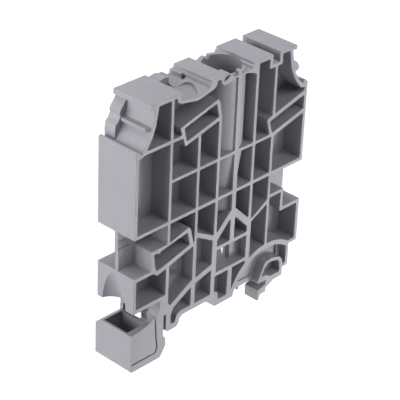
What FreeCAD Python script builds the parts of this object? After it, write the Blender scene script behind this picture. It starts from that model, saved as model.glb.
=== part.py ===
# End stop for a 35 mm top-hat rail: one moulded plastic piece.
# Frame: X across the rail, Y along the rail, Z up; the origin is the middle of the
# rail seat (rail flange top is Z = 0) and of the thickness. Millimetres.
import FreeCAD, Part
import math
import os

os.makedirs("parts", exist_ok=True)

# Overall
HALF = 5.9              # half the thickness along the rail (11.8 mm, a 12 mm module)
WALL = 0.8              # general rib and wall thickness
WEB_FRONT = -0.5        # front face of the middle web
WEB_REAR = 0.5          # rear face of the middle web
R_POCKET = 0.3          # corner radius inside the pockets
R_OUTER = 0.35          # corner radius of the outer outline
R_SHARP = 0.25          # a corner rounder than this is an arc, any other is left sharp

# Upright ribs, left and right faces
WALL_L = (-28.2, -27.4)
V1 = (-17.7, -16.9)
V2 = (-8.8, -8.0)
V3 = (-2.2, -1.35)
POST = (3.5, 4.85)
V4 = (9.7, 10.55)
V5 = (16.15, 16.95)
RIGHT_SIDE = 28.0
WALL_R = (RIGHT_SIDE - WALL, RIGHT_SIDE)

# Level ribs, lower and upper faces
H1 = (49.95, 50.75)
H2 = (39.85, 40.6)
H3 = (29.4, 30.25)
HD = (15.8, 16.7)
HE = (8.7, 9.6)
BASE = (2.85, 4.15)

# Top pads
PAD_Z = (60.45, 61.3)
PAD_1 = (-23.9, -14.3)
PAD_2 = (-5.3, -0.4)
PAD_3 = (8.6, 15.05)
PAD_4 = (17.55, 23.3)

# Lower blocks
BLOCK_TOP = 19.2
BLOCK_FLOOR = (9.85, 10.85)
TAG_L_WALL = -22.8      # left wall of the lower slanted channel
RIGHT_TOP = 23.9        # top of the right block
RIGHT_STEP = 18.7       # top of its outer step
RIGHT_RISER = (21.0, 21.95)
RIGHT_FLOOR = (7.0, 7.85)

# Window through to the wide cavity of the rear side
WINDOW_WEB = -3.5       # front face of the web beside it
WINDOW_END = 6.1        # right edge of the window
CAVITY_FRONT = -2.2     # the cavity reaches this far forward behind the window

# Arch over the fixed hook
ARCH_X = 17.1
ARCH_Z = -3.1
ARCH_R_IN = 12.15
ARCH_R_OUT = 13.45

# Central socket tube
TUBE_X = 4.2
TUBE_R = 5.55
TUBE_R_NOSE = 4.6
BORE_R_TOP = 4.6
BORE_R_LOW = 3.6
BORE_END = 27.0
TUBE_TOP = 60.0
DECK_Z = 59.85          # deck between the pads beside the socket
COLLAR_R = 5.7
COLLAR_TOP = 60.6
SCOOP_Z = 58.75         # floor of the scoop in the trough between the first two pads
TUBE_STRAIGHT = 38.5    # the taper starts here
TUBE_CONE_END = 32.0
TUBE_END = 24.6

# Spring foot with the release pocket
BOX_L = -28.6
BOX_BOTTOM = -5.95
SLOT = (-18.2, -17.4)   # slot between the spring arm and the fixed post
SLOT_TOP = 5.3
POCKET_X = (-27.5, -21.95)
POCKET_Y = (-3.45, 4.0)
POCKET_FLOOR = -5.0
RIM_Z = 3.6
NECK_GAP = (-1.1, 4.7)  # the spring arm is open here, between its front and rear strips
BARB_TOP = 0.8

# Fixed hook
JAW_REAR = -1.7         # the front jaw ends here, towards the middle
REAR_JAW = 0.9          # the rear jaw begins here
UNDER_WEB = 3.4         # the thick web under the arch, each way from the middle


def vec(x, z, y=0.0):
    return FreeCAD.Vector(x, y, z)


def face(points, radius=R_POCKET):
    """A face in the plane Y = 0 with rounded corners; a point may carry its own radius."""
    count = len(points)
    edges = []
    arcs = []
    for i in range(count):
        here = vec(points[i][0], points[i][1])
        before = vec(points[i - 1][0], points[i - 1][1])
        after = vec(points[(i + 1) % count][0], points[(i + 1) % count][1])
        r = points[i][2] if len(points[i]) > 2 else radius
        to_before = before.sub(here)
        to_after = after.sub(here)
        room = 0.45 * min(to_before.Length, to_after.Length)
        turn = to_before.getAngle(to_after)
        if r < R_SHARP or turn > math.radians(172):
            arcs.append((here, None, here))
            continue
        to_before.normalize()
        to_after.normalize()
        reach = r / math.tan(turn / 2.0)
        if reach > room:
            reach = room
            r = reach * math.tan(turn / 2.0)
        start = here.add(FreeCAD.Vector(to_before).multiply(reach))
        end = here.add(FreeCAD.Vector(to_after).multiply(reach))
        inward = to_before.add(to_after).normalize()
        middle = here.add(inward.multiply(r / math.sin(turn / 2.0) - r))
        arcs.append((start, middle, end))
    for i in range(count):
        start, middle, end = arcs[i]
        if middle is not None:
            edges.append(Part.Arc(start, middle, end).toShape())
        following = arcs[(i + 1) % count][0]
        if end.sub(following).Length > 1e-6:
            edges.append(Part.makeLine(end, following))
    return Part.Face(Part.Wire(edges))


def prism(flat, y0, y1):
    """A flat face of the plane Y = 0 drawn out from y0 to y1."""
    moved = flat.copy()
    moved.translate(FreeCAD.Vector(0, y0, 0))
    return moved.extrude(FreeCAD.Vector(0, y1 - y0, 0))


def box(x0, x1, z0, z1, y0=-HALF, y1=HALF):
    return Part.makeBox(x1 - x0, y1 - y0, z1 - z0, FreeCAD.Vector(x0, y0, z0))


def plain(points):
    """The same outline with sharp corners, for the side that is out of sight."""
    return face([(point[0], point[1], 0.0) for point in points])


def flat_prism(points, z0, z1):
    """A straight-sided block over points given as (x, y), from z0 up to z1."""
    corners = [FreeCAD.Vector(x, y, z0) for x, y in points]
    corners.append(corners[0])
    return Part.Face(Part.makePolygon(corners)).extrude(FreeCAD.Vector(0, 0, z1 - z0))


def line_z(x, a, b):
    """Height at x on the straight line through the points a and b."""
    return a[1] + (b[1] - a[1]) * (x - a[0]) / (b[0] - a[0])


def disc(radius):
    """Flat round face about the arch centre."""
    ring = Part.makeCircle(radius, vec(ARCH_X, ARCH_Z), FreeCAD.Vector(0, 1, 0))
    return Part.Face(Part.Wire([ring]))


def outer_outline():
    """The outer shape shared by both sides, without the hook and the skirt."""
    left_foot = [
        (BOX_L, BOX_BOTTOM, 0.5), (-19.1, BOX_BOTTOM, 0.6), (-18.1, -4.6, 1.0),
        (-17.35, -3.3, 1.0), (-17.35, -1.3, 0.5), (SLOT[0], -0.4, 0.3),
        (SLOT[0], SLOT_TOP, 0.4), (SLOT[1], SLOT_TOP, 0.4), (SLOT[1], 0.8, 0.3),
        (-16.8, 0.3, 0.3), (-13.9, 0.3, 0.4), (-13.2, 1.0, 0.3),
        (-12.9, 2.2, 0.6), (-11.8, BASE[0], 0.6)]
    middle_foot = [
        (-4.0, BASE[0], 0.6), (-2.0, 1.2, 0.4), (-0.9, 0.15, 0.4), (5.6, 0.15, 0.0),
        (17.1, 5.0, 0.0), (RIGHT_SIDE - 3.5, 6.7, 0.0)]
    right_side = [
        (RIGHT_SIDE - 2.6, RIGHT_FLOOR[0], 0.0), (RIGHT_SIDE + 0.15, RIGHT_FLOOR[0], 0.4),
        (RIGHT_SIDE + 0.15, RIGHT_STEP, 0.3), (RIGHT_SIDE - 0.1, RIGHT_STEP + 0.8, 0.5),
        (RIGHT_SIDE - 0.1, H3[0] - 0.6, 0.5), (RIGHT_SIDE + 0.05, H3[0], 0.0),
        (RIGHT_SIDE + 0.05, 50.4, 0.3), (WALL_R[0] - 0.2, 51.3, 0.3)]
    right_shoulder = [
        (RIGHT_SIDE - 1.6, 50.3, 0.2), (RIGHT_SIDE - 3.1, 51.9, 1.0), (23.3, 54.2, 1.5),
        (22.5, 57.2, 2.0), (21.95, 60.3, 0.2), (PAD_4[1], 60.15, 0.2)]
    top = [
        (PAD_4[1], PAD_Z[1], 0.3), (PAD_4[0], PAD_Z[1], 0.2), (PAD_4[0], 58.75, 0.2),
        (PAD_3[1], 58.75, 0.2), (PAD_3[1], PAD_Z[1], 0.2), (PAD_3[0], PAD_Z[1], 0.2),
        (PAD_3[0], 60.7, 0.0), (8.1, 60.45, 0.0), (8.1, 59.95, 0.0), (7.0, DECK_Z, 0.0),
        (PAD_2[1], DECK_Z, 0.2), (PAD_2[1], PAD_Z[1], 0.2),
        (PAD_2[0], PAD_Z[1], 0.2), (-5.35, 60.6, 0.1), (-5.7, 60.45, 0.1),
        (-5.9, 59.6, 0.3), (-9.8, 58.75, 1.5), (-14.4, 59.45, 0.5),
        (-14.9, 59.9, 0.3), (-14.9, 60.6, 0.3), (PAD_1[1], PAD_Z[1], 0.2),
        (PAD_1[0], PAD_Z[1], 0.2)]
    left_shoulder = [
        (PAD_1[0], 60.0, 0.2), (-22.8, 60.15, 0.2), (-23.2, 57.0, 2.0),
        (-23.9, 54.4, 1.5), (-25.6, 51.9, 1.0), (-26.6, 50.4, 0.2),
        (-27.4, 51.3, 0.2), (WALL_L[0], 51.3, 0.3)]
    left_side = [
        (WALL_L[0], H3[0], 0.3), (-28.05, 29.1, 0.0), (-27.9, 24.6, 0.0),
        (-27.75, BLOCK_TOP + 0.3, 0.2), (-28.1, BLOCK_TOP, 0.2), (-28.1, BLOCK_FLOOR[0], 0.2),
        (-19.4, BLOCK_FLOOR[0], 0.3), (-19.6, 7.6, 1.5), (-20.6, 6.0, 0.3),
        (-22.9, 4.85, 0.0), (-25.1, 4.4, 0.0), (BOX_L, 3.95, 0.3)]
    points = left_foot + middle_foot + right_side + right_shoulder + top
    points = points + left_shoulder + left_side
    return face(points, R_OUTER)


def upper_cells():
    """Pocket outlines from the pads down to the rib H3."""
    channel_low = ((-13.0, 47.7), (-2.6, 50.3))
    channel_top = ((14.4, H2[1] + 4.3), (WALL_R[0] - 0.2, 48.25))
    channel_under = ((17.0, H2[1] - 0.8), (WALL_R[0] - 0.1, 42.4))
    x1 = V1[1]
    x2 = V2[0]
    shoulder_left = [
        (-21.55, PAD_Z[0]), (-22.4, 56.0, 2.0), (-23.4, 53.4, 1.5), (-25.1, H1[1]),
        (V1[0], H1[1]), (V1[0], PAD_Z[0])]
    big_left = [
        (WALL_L[1], H3[1]), (V1[0], H3[1]), (V1[0], H1[0]), (-25.4, H1[0]),
        (WALL_L[1], 49.35)]
    socket_left = [
        (x1, H1[1]), (-14.1, H1[1]), (-14.75, 52.75, 0.3), (-2.85, 55.95, 0.4),
        (-2.25, 55.3, 0.4), (-1.35, 51.0, 0.2), (V3[1], H2[1]), (POST[0], H2[1]),
        (POST[0], 59.45), (2.1, 59.4, 0.3), (0.3, 58.7, 0.3), (-1.0, 58.7, 0.4),
        (-1.9, 59.5, 0.4), (-2.25, PAD_Z[0] + 0.1, 0.2), (-3.3, PAD_Z[0] + 0.1, 0.2),
        (-3.6, 59.45, 0.4), (-4.5, 58.85, 0.6), (-9.4, 57.8, 1.5), (-14.6, 58.75, 0.6),
        (-15.8, 59.3, 0.4), (-16.0, PAD_Z[0], 0.1), (x1, PAD_Z[0])]
    tag_slot_left = [(-12.6, 48.7), (-2.3, 51.35), (-3.2, 55.0), (-13.5, 52.3)]
    under_tag_1 = [
        (x1, H2[1]), (x2, H2[1]), (x2, line_z(x2, *channel_low)),
        (channel_low[0][0], channel_low[0][1], 0.0), (-13.7, H1[0]), (x1, H1[0])]
    under_tag_2 = [
        (V2[1], H2[1]), (V3[0], H2[1]), (V3[0], line_z(V3[0], *channel_low)),
        (V2[1], line_z(V2[1], *channel_low))]
    socket_right = [
        (POST[1], H2[1]), (V4[0], H2[1]), (V4[0], 58.1), (8.9, 58.65, 0.5),
        (6.6, 59.35, 0.5), (POST[1], 59.45)]
    right_of_v4 = [
        (V4[1], H2[1]), (15.45, H2[1]), (14.95, H2[1] + 1.8, 0.3), (14.35, H2[1] + 4.25, 0.3),
        (V5[0], line_z(V5[0], *channel_top)), (V5[0], 57.9), (14.15, 57.9),
        (14.15, PAD_Z[0]), (V4[1], PAD_Z[0])]
    tag_slot_right = [
        (16.25, H2[1] + 0.15), (WALL_R[0], 43.5), (WALL_R[0], 47.15), (15.3, H2[1] + 3.45)]
    shoulder_right = [
        (V5[1], line_z(V5[1], *channel_top)), (WALL_R[0], 48.3), (WALL_R[0], 49.1, 0.1),
        (WALL_R[0] - 1.5, 49.5, 0.4), (WALL_R[0] - 3.7, 52.3, 1.5), (21.9, 55.5, 2.0),
        (20.95, PAD_Z[0]),
        (18.5, PAD_Z[0]), (18.5, 57.9), (V5[1], 57.9)]
    under_slot_right = [
        (V5[1], H3[1]), (WALL_R[0], H3[1]), (WALL_R[0], line_z(WALL_R[0], *channel_under)),
        (V5[1], line_z(V5[1], *channel_under))]
    cells = [
        shoulder_left, big_left, socket_left, tag_slot_left, under_tag_1, under_tag_2,
        socket_right, right_of_v4, tag_slot_right, shoulder_right, under_slot_right]
    for left, right in ((V1[1], V2[0]), (V2[1], V3[0]), (V3[1], POST[0]),
                        (POST[1], V4[0]), (V4[1], V5[0])):
        cells.append([(left, H3[1]), (right, H3[1]), (right, H2[0]), (left, H2[0])])
    return cells


def lower_cells():
    """Pocket outlines below the rib H3 with the web at mid-thickness."""
    recess_left = [
        (-31.0, BLOCK_TOP), (TAG_L_WALL, BLOCK_TOP), (TAG_L_WALL, 24.3), (V1[0], 24.3),
        (V1[0], H3[0]), (-31.0, H3[0])]
    above_tag = [
        (V1[1], 24.4), (-11.0, 26.0, 0.3), (-10.4, 25.75, 0.3), (-9.95, 24.8, 0.3),
        (-9.1, 21.3, 0.1), (V2[0], 21.4, 0.1), (V2[0], H3[0]), (V1[1], H3[0])]
    diagonal_2 = [
        (V2[1], 23.5), (-2.3, 20.35), (V3[0], H3[0]), (V2[1], H3[0])]
    y_left = [(V3[1], 20.4), (POST[0], 25.1), (POST[0], H3[0]), (V3[1], H3[0])]
    y_right = [(POST[1], 25.1), (V4[0], 20.3), (V4[0], H3[0]), (POST[1], H3[0])]
    diagonal_4 = [
        (V4[1], 19.85), (V4[1] + 0.65, 20.05, 0.2), (V5[0], 22.95), (V5[0], H3[0]),
        (V4[1], H3[0])]
    recess_right = [
        (V5[1], RIGHT_TOP), (RIGHT_RISER[1], RIGHT_TOP), (RIGHT_RISER[1], RIGHT_STEP),
        (31.0, RIGHT_STEP), (31.0, H3[0]), (V5[1], H3[0])]
    tag_slot_low = [
        (-20.95, 18.5), (-17.0, 19.4, 0.0), (-10.3, 21.2), (-11.15, 24.8),
        (-19.6, 23.35, 0.2), (-20.3, 22.8, 0.3), (-21.0, 23.3, 0.2), (-21.9, 23.3),
        (-21.5, 20.0, 0.5)]
    block = [
        (WALL_L[1], BLOCK_FLOOR[1]), (V1[0] - 0.15, BLOCK_FLOOR[1]), (V1[0] - 0.15, 17.95),
        (-20.8, 17.3, 0.3), (-21.9, 18.25, 0.3), (WALL_L[1], 18.25)]
    tri_left = [(-1.0, HD[1]), (3.4, HD[1]), (3.4, 22.9), (-1.05, HD[1] + 1.7)]
    tri_right = [(4.8, HD[1]), (9.3, HD[1]), (9.35, HD[1] + 1.6), (4.9, 22.8)]
    return [recess_left, above_tag, diagonal_2, y_left, y_right, diagonal_4, recess_right,
            tag_slot_low, block, tri_left, tri_right]


def arch_cells():
    """Front pockets that end on the arch, as faces, each with its floor in Y."""
    under_v4 = [(V4[1] + 0.2, 18.95), (V4[1] + 0.2, 4.0), (V5[0], 4.0), (V5[0], 21.75)]
    right_block = [
        (V5[1], 4.0), (WALL_R[0] - 2.3, 4.0, 0.0), (WALL_R[0] - 2.3, RIGHT_FLOOR[1], 0.0),
        (WALL_R[0] + 0.05, RIGHT_FLOOR[1]), (WALL_R[0] + 0.05, 17.8), (RIGHT_RISER[0], 17.8),
        (RIGHT_RISER[0], 23.05), (V5[1], 23.05)]
    by_foot = [(POST[1] - 0.1, HE[0]), (POST[1] - 0.1, 1.0), (9.3, 1.0), (9.3, HE[0])]
    outer = disc(ARCH_R_OUT)
    return [(face(under_v4).cut(outer), None, WEB_FRONT, None),
            (face(right_block).cut(outer), plain(right_block).cut(outer), WEB_FRONT, WEB_REAR),
            (face(by_foot).cut(outer), None, -2.9, None)]


def shallow_cells():
    """Pockets whose web stands nearer the front: front and rear outline and floors."""
    beside_tag = [
        (V1[1], 18.2), (V1[1], 8.2), (-16.2, 7.25, 0.2), (-9.05, 11.15), (-9.05, 20.35)]
    middle_high = [(V2[1], 11.2), (-2.55, 12.6), (-2.55, 19.15), (V2[1], 22.2)]
    middle_low = [(V2[1], BASE[1]), (-2.6, BASE[1]), (-2.6, 11.1), (V2[1], 9.65)]
    hub_cell = [
        (-15.1, 6.1), (-15.85, 4.4, 0.8), (-15.85, 2.0, 0.4), (-15.2, 1.7, 0.3),
        (-14.4, 1.9, 0.3), (-13.8, 3.7, 0.8), (-12.4, 4.2, 0.8), (-9.3, 4.2), (-9.3, 9.3)]
    foot_cell = [
        (-1.3, 8.65), (-1.3, 4.2), (-0.1, 3.95, 0.2), (0.2, 1.7, 0.3), (3.15, 1.6),
        (3.35, 8.65)]
    return [(face(beside_tag), plain(beside_tag), -2.4, -1.4),
            (face(middle_high), plain(middle_high), -2.5, -1.5),
            (face(middle_low), plain(middle_low), -2.7, -1.7),
            (face(hub_cell), plain(hub_cell), -2.4, -1.4),
            (face(foot_cell), None, -2.9, None)]


def cut_cells(body):
    """Takes the pockets out of both sides; the rear ones mirror the front ones."""
    tools = []
    cells = arch_cells() + shallow_cells()
    for points in upper_cells() + lower_cells():
        cells.append((face(points), plain(points), WEB_FRONT, WEB_REAR))
    for front, rear, front_floor, rear_floor in cells:
        tools.append(prism(front, -HALF - 1.0, front_floor))
        if rear is not None:
            tools.append(prism(rear, rear_floor, HALF + 1.0))
    recess = face([(-0.95, HE[1]), (9.3, HE[1]), (9.3, HD[0]), (-0.95, HD[0])])
    window = plain([(-0.95, HE[1]), (WINDOW_END, HE[1]), (WINDOW_END, HD[0]), (-0.95, HD[0])])
    tools += [prism(recess, -HALF - 1.0, WINDOW_WEB), prism(window, -HALF, CAVITY_FRONT + 0.1)]
    return body.cut(tools)


def cut_rear_cavity(body):
    """The rear side has one wide cavity behind the window."""
    wide = plain([
        (-1.3, 4.2), (V5[0], 4.2), (V5[0], 21.75), (V4[1] + 0.2, 18.95), (9.4, HD[0]),
        (-1.0, HD[0])])
    deep = plain([(-1.3, 4.2), (9.4, 4.2), (9.4, HD[0]), (-1.0, HD[0])])
    small_window = face([(-13.2, 12.1), (-9.75, 12.1), (-9.75, 19.6), (-13.2, 18.6)])
    arch = disc(ARCH_R_OUT)
    tools = [prism(wide.cut(arch), WEB_REAR, HALF + 1.0),
             prism(deep.cut(arch), CAVITY_FRONT, 1.0),
             prism(small_window, -3.0, 0.0)]
    return body.cut(tools)


def tube():
    """The central socket tube: straight, a taper, a nose, and a rib down each side."""
    profile = [
        vec(TUBE_X, TUBE_TOP), vec(TUBE_X + TUBE_R, TUBE_TOP),
        vec(TUBE_X + TUBE_R, TUBE_STRAIGHT), vec(TUBE_X + 4.8, TUBE_CONE_END),
        vec(TUBE_X + TUBE_R_NOSE, H3[1]), vec(TUBE_X + TUBE_R_NOSE, TUBE_END),
        vec(TUBE_X, TUBE_END), vec(TUBE_X, TUBE_TOP)]
    outline = Part.Face(Part.makePolygon(profile))
    solid = outline.revolve(vec(TUBE_X, 0.0), FreeCAD.Vector(0, 0, 1), 360)
    return solid


def bore():
    """The socket itself, a funnel that gets narrower downwards."""
    profile = [
        vec(TUBE_X, TUBE_TOP + 2.0), vec(TUBE_X + BORE_R_TOP + 0.08, TUBE_TOP + 2.0),
        vec(TUBE_X + BORE_R_LOW, TUBE_CONE_END), vec(TUBE_X + BORE_R_LOW - 0.15, BORE_END),
        vec(TUBE_X, BORE_END), vec(TUBE_X, TUBE_TOP + 2.0)]
    return Part.Face(Part.makePolygon(profile)).revolve(
        vec(TUBE_X, 0.0), FreeCAD.Vector(0, 0, 1), 360)


def shoulder_blocks():
    """The thick rear end of each sloping shoulder, with the ledge or the knob along it."""
    parts = []
    rear_y = 2.6
    for side in (-1.0, 1.0):
        shift = 0.0 if side < 0 else 0.4
        outline = [
            (22.0, 60.4), (22.8, 60.2), (23.35, 59.25), (25.05, 57.0), (24.85, 56.0),
            (25.4, 54.9), (26.2, 54.2), (26.45, 52.6), (26.35, 50.3), (24.6, 50.8),
            (22.6, 54.0)]
        parts.append(prism(face([(side * (x + shift), z) for x, z in outline], 0.2),
                           rear_y, HALF))
    ledge = [(-22.9, rear_y + 0.5), (-24.8, rear_y + 0.5), (-24.8, -5.0), (-22.9, -5.6)]
    parts.append(flat_prism(ledge, 54.9, 55.8))
    knob = face([(22.9, 57.0), (24.1, 56.6), (25.0, 55.8), (25.75, 54.5), (25.2, 53.9),
                 (24.5, 53.7), (24.0, 53.0), (22.9, 54.0)], 0.3)
    parts.append(prism(knob, -5.0, rear_y + 0.5))
    return parts


def under_arch():
    """The thick web under the arch with its bottom lip, the skirt and the hook."""
    plate = face([(5.2, 0.0, 0.0), (24.6, 0.0, 0.0), (24.6, 9.0, 0.0), (5.2, 9.0, 0.0)])
    plate = plate.common(disc(ARCH_R_IN + 0.3))
    parts = [prism(plate, -UNDER_WEB, UNDER_WEB)]
    parts.append(box(6.0, 17.6, 0.0, 1.4, -UNDER_WEB - 0.35, UNDER_WEB + 0.35))
    skirt = face([(22.9, 0.9, 0.0), (25.35, 0.9, 0.6), (25.35, 7.2, 0.0), (24.5, 7.2, 0.0),
                  (24.45, 1.7, 0.5), (22.9, 1.7, 0.0)])
    parts.append(prism(skirt, -HALF, HALF))
    corner = face([(23.0, 3.0), (24.6, 3.0), (24.6, 7.0), (23.0, 8.0)], 0.0)
    parts.append(prism(corner, -UNDER_WEB - 0.5, UNDER_WEB + 0.5))
    hook = face([
        (14.6, 0.1, 0.2), (16.95, 4.9, 0.4), (19.6, 5.15, 0.5), (22.4, 4.3, 1.0),
        (23.45, 2.9, 0.6), (23.4, -1.4, 0.3), (20.4, -1.45, 0.4), (17.7, -2.8, 0.2),
        (17.7, -3.8, 0.2), (15.7, -3.8, 0.2), (15.2, -5.25, 0.15), (14.8, -5.3, 0.1),
        (14.75, -2.4, 0.2), (17.65, -1.55, 0.2), (17.65, -0.45, 0.2), (14.6, -0.3, 0.2)])
    nose = hook.common(face([(10.0, -0.1), (30.0, -0.1), (30.0, 6.0), (10.0, 6.0)], 0.0))
    cavity = face([
        (15.85, 1.35, 0.2), (17.5, 4.1), (19.5, 4.25), (21.6, 3.7, 0.6), (22.35, 2.7, 0.5),
        (22.6, 0.3, 0.4), (22.1, 0.0), (19.1, 0.0), (17.6, 0.95), (16.1, 1.05, 0.1)])
    for side in (-1.0, 1.0):
        end = JAW_REAR if side < 0 else REAR_JAW
        jaw = prism(hook, side * HALF, end)
        jaw = jaw.fuse(prism(nose, side * HALF, 0.0))
        jaw = jaw.cut(prism(cavity, side * (HALF + 1.0), side * 2.2))
        parts.append(jaw)
    return parts


def cut_foot(body):
    """The release pocket in the spring foot, its split neck and the panel on each side."""
    above = 8.0
    tools = [box(POCKET_X[0], POCKET_X[1], POCKET_FLOOR, above, POCKET_Y[0], POCKET_Y[1]),
             box(BOX_L + 0.3, -20.9, RIM_Z, above, -HALF + 0.4, HALF + 1.0),
             box(-21.0, SLOT[1] - 0.1, BARB_TOP, SLOT_TOP - 0.3, *NECK_GAP),
             box(POCKET_X[1] - 0.1, -20.9, 3.3, above, *NECK_GAP),
             box(-21.0, -19.3, RIM_Z + 0.3, above, -3.1, NECK_GAP[0]),
             box(SLOT[1] - 0.1, -15.6, -1.0, 2.0, 2.2, HALF + 1.0)]
    chamfer = [FreeCAD.Vector(BOX_L - 1.0, y, z) for y, z in
               ((4.4, RIM_Z), (HALF + 0.1, 2.7), (HALF + 0.1, above), (4.4, above), (4.4, RIM_Z))]
    tools.append(Part.Face(Part.makePolygon(chamfer)).extrude(FreeCAD.Vector(8.7, 0, 0)))
    panel = [(-28.25, -4.15), (-20.4, -4.15, 0.6), (-19.9, -2.4, 0.5), (-20.3, 0.0, 0.0),
             (-20.75, 5.9, 0.2), (-28.25, 5.9)]
    inner = [(-28.25, -3.9), (-20.6, -3.9, 0.5), (-20.2, -2.4, 0.5), (-20.6, 0.0, 0.0),
             (-21.0, 5.9, 0.2), (-28.25, 5.9)]
    groove = face(panel).cut(face(inner))
    for side in (-1.0, 1.0):
        tools.append(prism(face(panel), side * (HALF + 1.0), side * (HALF - 0.15)))
        tools.append(prism(groove, side * (HALF + 1.0), side * (HALF - 0.6)))
    return body.cut(tools)


def tilted_cylinder(radius):
    """Cylinder of the screwdriver groove in the left block, leaning outwards."""
    lean = math.radians(19.5)
    axis = FreeCAD.Vector(-math.sin(lean), 0, math.cos(lean))
    start = FreeCAD.Vector(-29.3, 0.42, BLOCK_FLOOR[0]).sub(FreeCAD.Vector(axis).multiply(3.0))
    return Part.makeCylinder(radius, 16.0, start, axis)


def cut_groove(body):
    """The groove itself, with a wall of even thickness behind it."""
    wall = tilted_cylinder(4.0 + WALL)
    room = box(WALL_L[0] + 0.1, V1[0], BLOCK_FLOOR[0], BLOCK_TOP, -HALF, HALF)
    body = body.fuse(wall.common(room))
    return body.cut(tilted_cylinder(4.0))


def trough_details(body):
    """The scoop in the right slope, the raised blocks at the rear and the small notch."""
    top = PAD_Z[1] - 0.1
    left_block = plain([(-14.6, 58.9), (-10.1, 58.7), (-10.1, top - 0.7), (-11.3, top - 0.3),
                        (-13.25, top - 0.7), (-14.2, top), (-14.6, top)])
    right_block = plain([(-10.4, 58.3), (-7.3, 58.6), (-7.3, 59.3), (-9.15, 60.5),
                         (-10.4, 60.5)])
    slope = [FreeCAD.Vector(-11.0, y, z) for y, z in
             ((0.9, 58.9), (HALF, 60.5), (HALF, 63.0), (0.9, 63.0), (0.9, 58.9))]
    ramp = prism(right_block, 1.0, HALF).cut(
        Part.Face(Part.makePolygon(slope)).extrude(FreeCAD.Vector(5.0, 0, 0)))
    body = body.fuse([prism(left_block, 2.6, HALF), ramp,
                      box(-6.6, -5.7, 59.3, 60.4, 2.5, HALF)])
    scoop = flat_prism([
        (-9.75, 0.5), (-8.3, 0.6), (-7.3, 0.4), (-6.7, -0.2), (-6.6, -1.2), (-7.0, -2.3),
        (-7.8, -3.6), (-9.0, -5.3), (-9.75, -5.3)], SCOOP_Z, 62.0)
    slot = box(-12.6, -11.0, 58.3, 62.0, 1.2, 2.6)
    notch = flat_prism([(-6.9, 1.5), (-5.3, 1.5), (-5.3, 2.5), (-6.6, 2.5)], 58.9, 59.95)
    return body.cut([scoop, slot, notch])


def mouth_details(body):
    """The collar of the socket with its rear slot, the nub and the recess at the front."""
    collar = Part.makeCylinder(COLLAR_R, 1.2, FreeCAD.Vector(TUBE_X, 0, COLLAR_TOP - 1.2))
    room = box(PAD_2[1], PAD_3[0], 58.0, 62.0, -0.5)
    lip = plain([(-0.6, 59.0), (2.3, 59.0), (2.3, 59.9), (1.4, 60.5), (0.7, PAD_Z[1] - 0.15),
                 (-0.6, PAD_Z[1] - 0.1)])
    body = body.fuse([collar.common(room), prism(lip, -HALF, -3.0),
                      box(3.4, 4.4, 59.0, 60.95, -HALF, -4.9)])
    recess = plain([(-1.3, 59.75), (-0.9, 60.65), (0.6, 60.95), (0.7, 60.55), (-0.3, 59.9)])
    return body.cut([box(3.7, 5.0, 59.9, 62.0, 4.2, HALF + 1.0),
                     prism(recess, -HALF - 1.0, -4.4)])


def side_details(body):
    """Grooves on the web's left edge, the gap slanting past the arch, the tag slot's sill."""
    body = body.cut([box(-29.0, -25.5, 26.7, 26.95, WEB_FRONT - 0.1, WEB_FRONT + 0.2),
                     box(-29.0, -24.3, 24.7, 24.95, WEB_FRONT - 0.1, WEB_FRONT + 0.2)])
    gap = [vec(x, z, 0.6) for x, z in ((7.7, 10.2), (8.5, 10.1), (8.25, 7.9), (7.7, 10.2))]
    body = body.cut(Part.Face(Part.makePolygon(gap)).extrude(vec(6.6, -5.4, 5.9)))
    sill = plain([(WALL_R[0] - 2.4, 46.4), (WALL_R[0] + 0.2, 45.2), (WALL_R[0] + 0.2, 47.4),
                  (WALL_R[0] - 2.4, 46.8)])
    return body.fuse(prism(sill, -2.6, 2.6))


def build():
    body = prism(outer_outline().cut(disc(ARCH_R_IN)), -HALF, HALF)
    body = cut_cells(body)
    body = cut_rear_cavity(body)
    body = body.fuse([tube()] + shoulder_blocks() + under_arch())
    post = box(POST[0], POST[1], H2[1] - 0.2, 59.6, -HALF, HALF)
    body = body.fuse([post])
    body = mouth_details(body).cut(bore())
    body = trough_details(body)
    body = side_details(body)
    body = cut_foot(body)
    return cut_groove(body)


end_stop = build()
end_stop.exportStep("parts/end_stop.step")
print("solids", len(end_stop.Solids), "faces", len(end_stop.Faces), "valid", end_stop.isValid(),
      "volume", round(end_stop.Volume, 1))
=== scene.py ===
import bpy
import math
from mathutils import Euler, Matrix, Vector

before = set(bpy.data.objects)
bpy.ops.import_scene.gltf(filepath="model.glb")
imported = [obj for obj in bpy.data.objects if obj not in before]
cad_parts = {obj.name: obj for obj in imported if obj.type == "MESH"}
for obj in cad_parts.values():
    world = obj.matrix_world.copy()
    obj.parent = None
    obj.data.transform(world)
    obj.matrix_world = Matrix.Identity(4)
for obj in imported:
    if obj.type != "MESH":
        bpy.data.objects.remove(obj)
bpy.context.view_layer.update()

MM = 0.001

# Camera, worked out from the photo: its place in millimetres of the part's frame, and
# its turn in degrees about X, then Y, then Z
CAMERA_MM = (-257.327, -235.618, 226.471)
CAMERA_TURN = (60.1575, -2.1439, -46.1711)
SENSOR_MM = 36.0
LENS_MM = 155.014
CLIP_NEAR = 0.01
CLIP_FAR = 20.0

# Plastic
GREY = (0.315, 0.319, 0.348, 1.0)
GREY_DARK = (0.289, 0.293, 0.320, 1.0)
GREY_LIGHT = (0.335, 0.339, 0.369, 1.0)
ROUGHNESS = (0.44, 0.56)
IOR = 1.5
SPECULAR = 0.42
EDGE_RADIUS = 0.14 * MM
EDGE_SAMPLES = 8
GRAIN_HEIGHT = 0.02 * MM
GRAIN_STRENGTH = 0.18

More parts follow.
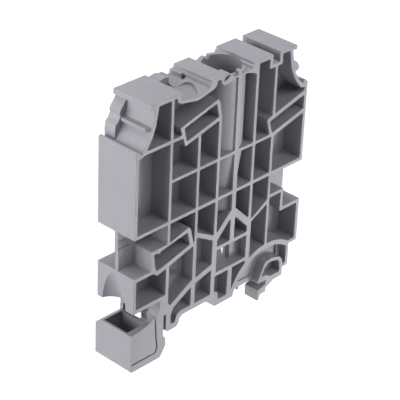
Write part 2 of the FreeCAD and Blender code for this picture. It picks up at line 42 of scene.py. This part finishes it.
# Patterns in the plastic: the scale is in waves to a metre, and a small stretch makes
# a pattern long that way; then the part of each pattern's range that shows
CLOUDS = {"scale": 90.0, "stretch": (1.0, 1.0, 1.0), "detail": 3.0}
BANDS = {"scale": 420.0, "stretch": (0.05, 1.0, 0.02), "detail": 1.0}
FLOW = {"scale": 260.0, "stretch": (1.0, 0.3, 0.3), "detail": 2.0}
GRAIN = {"scale": 5200.0, "stretch": (1.0, 1.0, 1.0), "detail": 2.0}
CLOUD_RANGE = (0.35, 0.65)
BAND_RANGE = (0.4, 0.7)
FLOW_RANGE = (0.3, 0.7)
CLOUD_SHARE = (0.0, 0.6)
BAND_SHARE = (0.0, 0.55)

# Places of the colour sockets on a Mix node
MIX_COLOURS = (6, 7)
MIX_RESULT = 2

# Studio
WHITE = (1.0, 1.0, 1.0, 1.0)
AMBIENT = 0.02
FLOOR_Z = -120.0 * MM
FLOOR_SIZE = 6.0
FLOOR_GREY = 0.6        # for the light that the floor sends back to the part
FLOOR_SEEN = 0.3        # for the light that it sends to the camera
FLOOR_GLOW = 0.88       # added for the camera, so that the floor looks white
MIDDLE = (0.0, 0.0, 27.0 * MM)      # where the lamps aim

# The powers started from a fit to the brightness in the photo and were then set one by one
LAMPS = {
    # name: place in metres, size in metres, power in watts
    "left": ((-0.50, 0.25, -0.02), 0.80, 7.1),
    "left_high": ((-0.55, 0.05, 0.40), 0.40, 0.3),
    "top": ((0.0, 0.12, 0.68), 0.40, 2.15),
    "top_front": ((0.10, -0.45, 0.55), 0.40, 1.45),
    "front_right": ((0.40, -0.50, 0.15), 0.40, 0.75),
    "low_front": ((0.0, -0.50, -0.07), 0.10, 0.15),
    "low": ((0.15, -0.20, -0.10), 0.10, 0.45),
    "rear": ((0.25, 0.60, 0.30), 0.40, 0.9),
}


def add_camera():
    """A camera with the photo's place, turn and lens."""
    data = bpy.data.cameras.new("camera")
    data.sensor_width = SENSOR_MM
    data.lens = LENS_MM
    data.clip_start = CLIP_NEAR
    data.clip_end = CLIP_FAR
    camera = bpy.data.objects.new("camera", data)
    bpy.context.scene.collection.objects.link(camera)
    turn = Euler([math.radians(angle) for angle in CAMERA_TURN], "XYZ")
    camera.matrix_world = Matrix.Translation(Vector(CAMERA_MM) * MM) @ turn.to_matrix().to_4x4()
    bpy.context.scene.camera = camera


def add_lamp(name, place, size, power):
    """A square soft lamp that shines at the middle of the part."""
    data = bpy.data.lights.new(name, "AREA")
    data.shape = "SQUARE"
    data.size = size
    data.energy = power
    lamp = bpy.data.objects.new(name, data)
    bpy.context.scene.collection.objects.link(lamp)
    lamp.location = place
    aim = Vector(MIDDLE) - Vector(place)
    lamp.rotation_euler = aim.to_track_quat("-Z", "Y").to_euler()


def seen_directly(nodes, links):
    """One for a ray straight from the camera, off something glossy or through glass."""
    path = nodes.new("ShaderNodeLightPath")
    seen = path.outputs["Is Camera Ray"]
    for kind in ("Is Glossy Ray", "Is Transmission Ray"):
        either = nodes.new("ShaderNodeMath")
        either.operation = "MAXIMUM"
        links.new(seen, either.inputs[0])
        links.new(path.outputs[kind], either.inputs[1])
        seen = either.outputs["Value"]
    return seen


def add_world():
    """A faint even light on the part, and white for whatever sees the world directly."""
    world = bpy.data.worlds.new("studio")
    bpy.context.scene.world = world
    world.use_nodes = True
    nodes = world.node_tree.nodes
    links = world.node_tree.links
    ambient = nodes["Background"]
    ambient.inputs["Color"].default_value = WHITE
    ambient.inputs["Strength"].default_value = AMBIENT
    white = nodes.new("ShaderNodeBackground")
    white.inputs["Color"].default_value = WHITE
    white.inputs["Strength"].default_value = 1.0
    mix = nodes.new("ShaderNodeMixShader")
    links.new(seen_directly(nodes, links), mix.inputs["Fac"])
    links.new(ambient.outputs["Background"], mix.inputs[1])
    links.new(white.outputs["Background"], mix.inputs[2])
    links.new(mix.outputs["Shader"], nodes["World Output"].inputs["Surface"])


def paper(nodes, grey):
    """A matt surface of the given grey."""
    shader = nodes.new("ShaderNodeBsdfDiffuse")
    shader.inputs["Color"].default_value = (grey, grey, grey, 1.0)
    return shader.outputs["BSDF"]


def floor_material():
    """Pale paper that glows for the camera and still takes the shadow."""
    mat = bpy.data.materials.new("white_floor")
    mat.use_nodes = True
    nodes = mat.node_tree.nodes
    links = mat.node_tree.links
    nodes.remove(nodes["Principled BSDF"])
    glow = nodes.new("ShaderNodeEmission")
    glow.inputs["Strength"].default_value = FLOOR_GLOW
    seen = nodes.new("ShaderNodeAddShader")
    links.new(paper(nodes, FLOOR_SEEN), seen.inputs[0])
    links.new(glow.outputs["Emission"], seen.inputs[1])
    mix = nodes.new("ShaderNodeMixShader")
    links.new(seen_directly(nodes, links), mix.inputs["Fac"])
    links.new(paper(nodes, FLOOR_GREY), mix.inputs[1])
    links.new(seen.outputs["Shader"], mix.inputs[2])
    links.new(mix.outputs["Shader"], nodes["Material Output"].inputs["Surface"])
    return mat


def add_floor():
    """A large level square below the part."""
    half = FLOOR_SIZE / 2.0
    mesh = bpy.data.meshes.new("floor")
    corners = [(-half, -half, FLOOR_Z), (half, -half, FLOOR_Z),
               (half, half, FLOOR_Z), (-half, half, FLOOR_Z)]
    mesh.from_pydata(corners, [], [(0, 1, 2, 3)])
    floor = bpy.data.objects.new("floor", mesh)
    bpy.context.scene.collection.objects.link(floor)
    mesh.materials.append(floor_material())


def noise(nodes, links, coordinates, scale, stretch, detail):
    """Noise in the part's own metres."""
    place = nodes.new("ShaderNodeMapping")
    place.inputs["Scale"].default_value = stretch
    field = nodes.new("ShaderNodeTexNoise")
    field.inputs["Scale"].default_value = scale
    field.inputs["Detail"].default_value = detail
    links.new(coordinates, place.inputs["Vector"])
    links.new(place.outputs["Vector"], field.inputs["Vector"])
    return field.outputs["Fac"]


def scaled(nodes, links, value, source, target):
    """Maps a value from one range onto another, each given as (low, high)."""
    spread = nodes.new("ShaderNodeMapRange")
    spread.inputs["From Min"].default_value = source[0]
    spread.inputs["From Max"].default_value = source[1]
    spread.inputs["To Min"].default_value = target[0]
    spread.inputs["To Max"].default_value = target[1]
    links.new(value, spread.inputs["Value"])
    return spread.outputs["Result"]


def blend(nodes, links, factor, first, second):
    """Mixes two colours, each a link or a plain colour."""
    mix = nodes.new("ShaderNodeMix")
    mix.data_type = "RGBA"
    links.new(factor, mix.inputs["Factor"])
    for place, colour in zip(MIX_COLOURS, (first, second)):
        socket = mix.inputs[place]
        if isinstance(colour, tuple):
            socket.default_value = colour
        else:
            links.new(colour, socket)
    return mix.outputs[MIX_RESULT]


def rounded_edges(nodes):
    """Normals that turn smoothly over each edge, as the mould leaves no sharp arris."""
    edge = nodes.new("ShaderNodeBevel")
    edge.samples = EDGE_SAMPLES
    edge.inputs["Radius"].default_value = EDGE_RADIUS
    return edge.outputs["Normal"]


def moulded_plastic():
    """Satin grey polyamide: faint cloudy flow, bands along the draw, fine spark grain."""
    mat = bpy.data.materials.new("grey_moulded_plastic")
    mat.use_nodes = True
    nodes = mat.node_tree.nodes
    links = mat.node_tree.links
    shader = nodes["Principled BSDF"]
    coordinates = nodes.new("ShaderNodeTexCoord").outputs["Object"]

    clouds = noise(nodes, links, coordinates, **CLOUDS)
    bands = noise(nodes, links, coordinates, **BANDS)
    cloudy = scaled(nodes, links, clouds, CLOUD_RANGE, CLOUD_SHARE)
    banded = scaled(nodes, links, bands, BAND_RANGE, BAND_SHARE)
    colour = blend(nodes, links, cloudy, GREY, GREY_DARK)
    colour = blend(nodes, links, banded, colour, GREY_LIGHT)
    links.new(colour, shader.inputs["Base Color"])

    flow = noise(nodes, links, coordinates, **FLOW)
    gloss = scaled(nodes, links, flow, FLOW_RANGE, ROUGHNESS)
    links.new(gloss, shader.inputs["Roughness"])
    shader.inputs["IOR"].default_value = IOR
    shader.inputs["Specular IOR Level"].default_value = SPECULAR

    grain = noise(nodes, links, coordinates, **GRAIN)
    bump = nodes.new("ShaderNodeBump")
    bump.inputs["Strength"].default_value = GRAIN_STRENGTH
    bump.inputs["Distance"].default_value = GRAIN_HEIGHT
    links.new(grain, bump.inputs["Height"])
    links.new(rounded_edges(nodes), bump.inputs["Normal"])
    links.new(bump.outputs["Normal"], shader.inputs["Normal"])
    return mat


add_camera()
add_world()
add_floor()
for name, (place, size, power) in LAMPS.items():
    add_lamp(name, place, size, power)

plastic = moulded_plastic()
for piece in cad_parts.values():
    piece.data.materials.clear()
    piece.data.materials.append(plastic)

bpy.context.scene.view_settings.view_transform = "Standard"
